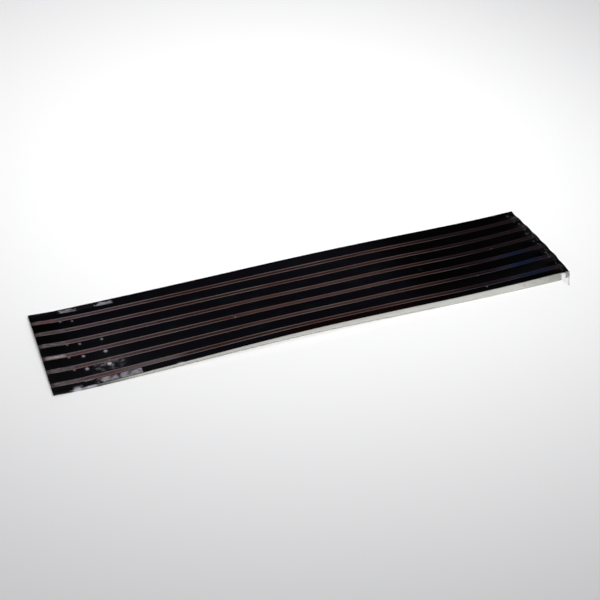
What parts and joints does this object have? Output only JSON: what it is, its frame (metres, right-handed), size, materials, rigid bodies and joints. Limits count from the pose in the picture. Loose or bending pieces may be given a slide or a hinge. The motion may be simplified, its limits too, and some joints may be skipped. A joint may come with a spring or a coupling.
{
  "type": "flexible solar sheet",
  "caption": "Thin flexible solar laminate: dark glossy cell stripes with reddish gaps and silver lines between clear films, with a clear margin and contact pads at one end.",
  "frame": {"origin": "under the middle of the sheet's box, on the plane of its rear face", "axes": "+X along the sheet away from the end with the contact pads, +Y towards the back long edge, away from the clear margin, +Z out of the lit face"},
  "size_m": [0.27, 0.0688, 0.0005],
  "materials": {
    "clear_film": "clear gloss",
    "cell": "near-black gloss under clear film",
    "silver_print": "printed silver under clear film",
    "tinted_foil": "dark reddish translucent",
    "tinned_ribbon": "tinned copper, satin",
    "silver_pad": "printed silver, worn satin"
  },
  "bodies": {
    "segment_1": {"cover_film_1": "clear_film", "cell_stripes_1": "cell", "collector_lines_1": "silver_print", "carrier_foil_1": "tinted_foil", "bus_ribbons_1": "tinned_ribbon", "backing_film_1": "clear_film", "contact_pad_plus": "silver_pad", "contact_pad_minus": "silver_pad"},
    "segment_2": {"cover_film_2": "clear_film", "cell_stripes_2": "cell", "collector_lines_2": "silver_print", "carrier_foil_2": "tinted_foil", "bus_ribbons_2": "tinned_ribbon", "backing_film_2": "clear_film"},
    "segment_3": {"cover_film_3": "clear_film", "cell_stripes_3": "cell", "collector_lines_3": "silver_print", "carrier_foil_3": "tinted_foil", "bus_ribbons_3": "tinned_ribbon", "backing_film_3": "clear_film"},
    "segment_4": {"cover_film_4": "clear_film", "cell_stripes_4": "cell", "collector_lines_4": "silver_print", "carrier_foil_4": "tinted_foil", "bus_ribbons_4": "tinned_ribbon", "backing_film_4": "clear_film"},
    "segment_5": {"cover_film_5": "clear_film", "cell_stripes_5": "cell", "collector_lines_5": "silver_print", "carrier_foil_5": "tinted_foil", "bus_ribbons_5": "tinned_ribbon", "backing_film_5": "clear_film"},
    "segment_6": {"cover_film_6": "clear_film", "cell_stripes_6": "cell", "collector_lines_6": "silver_print", "carrier_foil_6": "tinted_foil", "bus_ribbons_6": "tinned_ribbon", "backing_film_6": "clear_film"},
    "segment_7": {"cover_film_7": "clear_film", "cell_stripes_7": "cell", "collector_lines_7": "silver_print", "carrier_foil_7": "tinted_foil", "bus_ribbons_7": "tinned_ribbon", "backing_film_7": "clear_film"},
    "segment_8": {"cover_film_8": "clear_film", "cell_stripes_8": "cell", "collector_lines_8": "silver_print", "carrier_foil_8": "tinted_foil", "bus_ribbons_8": "tinned_ribbon", "backing_film_8": "clear_film"}
  },
  "joints": [
    {"name": "bend_1", "type": "hinge", "parent": "segment_2", "child": "segment_1", "pos_m": [-0.09, 0, 0.00023], "axis": [0, 1, 0], "range_deg": [0, 20], "stiffness_Nm_per_rad": 0.04},
    {"name": "bend_2", "type": "hinge", "parent": "segment_3", "child": "segment_2", "pos_m": [-0.05786, 0, 0.00023], "axis": [0, 1, 0], "range_deg": [0, 20], "stiffness_Nm_per_rad": 0.04},
    {"name": "bend_3", "type": "hinge", "parent": "segment_4", "child": "segment_3", "pos_m": [-0.02571, 0, 0.00023], "axis": [0, 1, 0], "range_deg": [0, 20], "stiffness_Nm_per_rad": 0.04},
    {"name": "bend_4", "type": "hinge", "parent": "segment_4", "child": "segment_5", "pos_m": [0.00643, 0, 0.00023], "axis": [0, -1, 0], "range_deg": [0, 20], "stiffness_Nm_per_rad": 0.04},
    {"name": "bend_5", "type": "hinge", "parent": "segment_5", "child": "segment_6", "pos_m": [0.03857, 0, 0.00023], "axis": [0, -1, 0], "range_deg": [0, 20], "stiffness_Nm_per_rad": 0.04},
    {"name": "bend_6", "type": "hinge", "parent": "segment_6", "child": "segment_7", "pos_m": [0.07071, 0, 0.00023], "axis": [0, -1, 0], "range_deg": [0, 20], "stiffness_Nm_per_rad": 0.04},
    {"name": "bend_7", "type": "hinge", "parent": "segment_7", "child": "segment_8", "pos_m": [0.10286, 0, 0.00023], "axis": [0, -1, 0], "range_deg": [0, 20], "stiffness_Nm_per_rad": 0.04}
  ]
}
